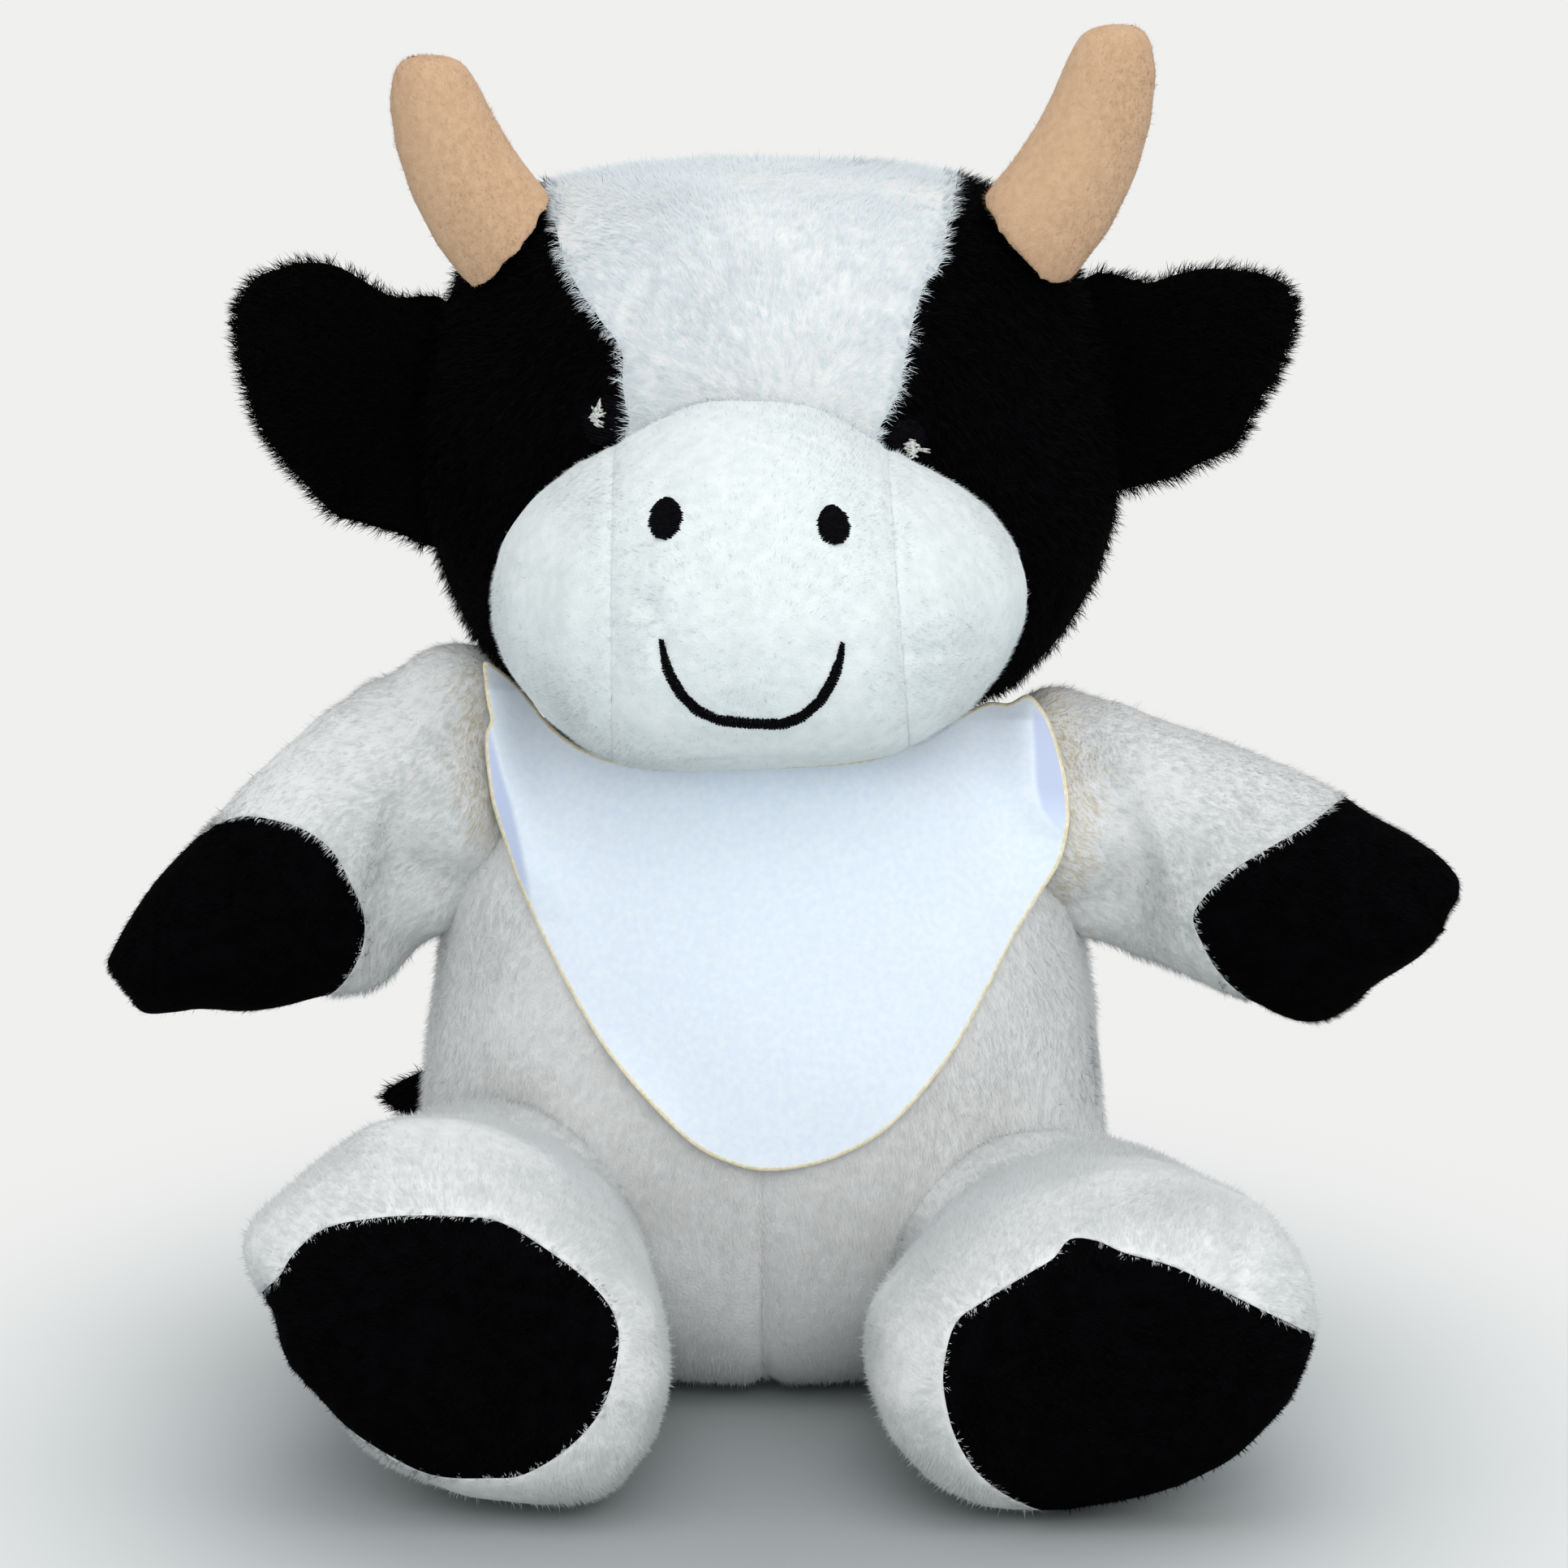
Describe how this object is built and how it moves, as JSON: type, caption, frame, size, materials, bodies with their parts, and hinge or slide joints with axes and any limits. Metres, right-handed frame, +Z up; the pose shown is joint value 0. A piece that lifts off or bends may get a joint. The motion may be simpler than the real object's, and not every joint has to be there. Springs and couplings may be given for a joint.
{
  "type": "plush cow",
  "caption": "Seated plush cow with black hooves and soles, black side patches, felt horns, ears, a stitched smile and a white triangular bandana",
  "frame": {"origin": "middle of the flat seat panel, on the surface that the cow sits on", "axes": "+Z up, the cow faces -Y, +X is the picture's right"},
  "size_m": [0.2258, 0.1669, 0.2286],
  "materials": {
    "white_plush": "long soft pile, matte",
    "black_plush": "long soft pile, matte",
    "muzzle_plush": "short brushed pile, matte",
    "horn_felt": "short felt nap, matte",
    "bandana_cloth": "smooth satin-finish polyester cloth",
    "black_thread": "satin-stitch embroidery thread",
    "white_thread": "satin-stitch embroidery thread",
    "seat_cloth": "flat woven-backed plush",
    "pellet_cloth": "plain woven pouch filled with pellets",
    "stuffing": "loose polyester fibre filling"
  },
  "bodies": {
    "torso": {"body_front_left": "white_plush", "body_front_right": "white_plush", "body_back_left": "white_plush", "body_back_right": "white_plush", "seat_panel": "seat_cloth", "seat_pellet_bag": "pellet_cloth", "body_stuffing": "stuffing", "bandana_band": "bandana_cloth", "bandana_knot": "bandana_cloth", "knot_end_left": "bandana_cloth", "knot_end_right": "bandana_cloth"},
    "bandana_flap": {"bandana_flap": "bandana_cloth"},
    "neck": {"neck_stuffing": "stuffing"},
    "head": {"head_blaze": "white_plush", "head_side_left": "black_plush", "head_side_right": "black_plush", "head_stuffing": "stuffing", "muzzle_centre": "muzzle_plush", "muzzle_cheek_left": "muzzle_plush", "muzzle_cheek_right": "muzzle_plush", "muzzle_stuffing": "stuffing", "nostril_left": "black_thread", "nostril_right": "black_thread", "smile": "black_thread", "eye_left": "black_thread", "eye_right": "black_thread", "eye_left_spark": "white_thread", "eye_right_spark": "white_thread", "horn_left": "horn_felt", "horn_right": "horn_felt"},
    "ear_left": {"ear_left_front": "black_plush", "ear_left_back": "black_plush"},
    "ear_right": {"ear_right_front": "black_plush", "ear_right_back": "black_plush"},
    "arm_left": {"arm_left_sleeve": "white_plush", "arm_left_hoof": "black_plush", "arm_left_stuffing": "stuffing"},
    "arm_right": {"arm_right_sleeve": "white_plush", "arm_right_hoof": "black_plush", "arm_right_stuffing": "stuffing"},
    "leg_left": {"leg_left_sleeve": "white_plush", "leg_left_sole": "black_plush", "leg_left_stuffing": "stuffing"},
    "leg_right": {"leg_right_sleeve": "white_plush", "leg_right_sole": "black_plush", "leg_right_stuffing": "stuffing"},
    "tail": {"tail_cord": "white_plush", "tail_tuft": "black_plush"}
  },
  "joints": [
    {"name": "head_turn", "type": "hinge", "parent": "torso", "child": "neck", "pos_m": [0, 0, 0.11], "axis": [0, 0, 1], "range_deg": [-25, 25], "stiffness_Nm_per_rad": 0.6},
    {"name": "head_nod", "type": "hinge", "parent": "neck", "child": "head", "pos_m": [0, 0, 0.11], "axis": [1, 0, 0], "range_deg": [-6, 6], "stiffness_Nm_per_rad": 1.5},
    {"name": "ear_left_fold", "type": "hinge", "parent": "head", "child": "ear_left", "pos_m": [-0.05773, 0.004, 0.16], "axis": [0.1908, 0, 0.9816], "range_deg": [-25, 25], "stiffness_Nm_per_rad": 0.02},
    {"name": "ear_right_fold", "type": "hinge", "parent": "head", "child": "ear_right", "pos_m": [0.05994, 0.004, 0.163], "axis": [0.1908, 0, -0.9816], "range_deg": [-25, 25], "stiffness_Nm_per_rad": 0.02},
    {"name": "arm_left_swing", "type": "hinge", "parent": "torso", "child": "arm_left", "pos_m": [-0.0511, -0.006, 0.093], "axis": [0.2756, 0, 0.9613], "range_deg": [-20, 35], "stiffness_Nm_per_rad": 0.15},
    {"name": "arm_right_swing", "type": "hinge", "parent": "torso", "child": "arm_right", "pos_m": [0.0511, -0.006, 0.093], "axis": [0.2756, 0, -0.9613], "range_deg": [-20, 35], "stiffness_Nm_per_rad": 0.15},
    {"name": "leg_left_lift", "type": "hinge", "parent": "torso", "child": "leg_left", "pos_m": [-0.045, -0.04, 0.045], "axis": [-1, 0, 0], "range_deg": [0, 25], "stiffness_Nm_per_rad": 0.4},
    {"name": "leg_right_lift", "type": "hinge", "parent": "torso", "child": "leg_right", "pos_m": [0.048, -0.04, 0.045], "axis": [-1, 0, 0], "range_deg": [0, 25], "stiffness_Nm_per_rad": 0.4},
    {"name": "tail_swing", "type": "hinge", "parent": "torso", "child": "tail", "pos_m": [0, 0.04714, 0.028], "axis": [0, 0, -1], "range_deg": [0, 120], "stiffness_Nm_per_rad": 0.004},
    {"name": "flap_lift", "type": "hinge", "parent": "torso", "child": "bandana_flap", "pos_m": [0, -0.04001, 0.0985], "axis": [-1, 0, 0], "range_deg": [0, 25]}
  ]
}
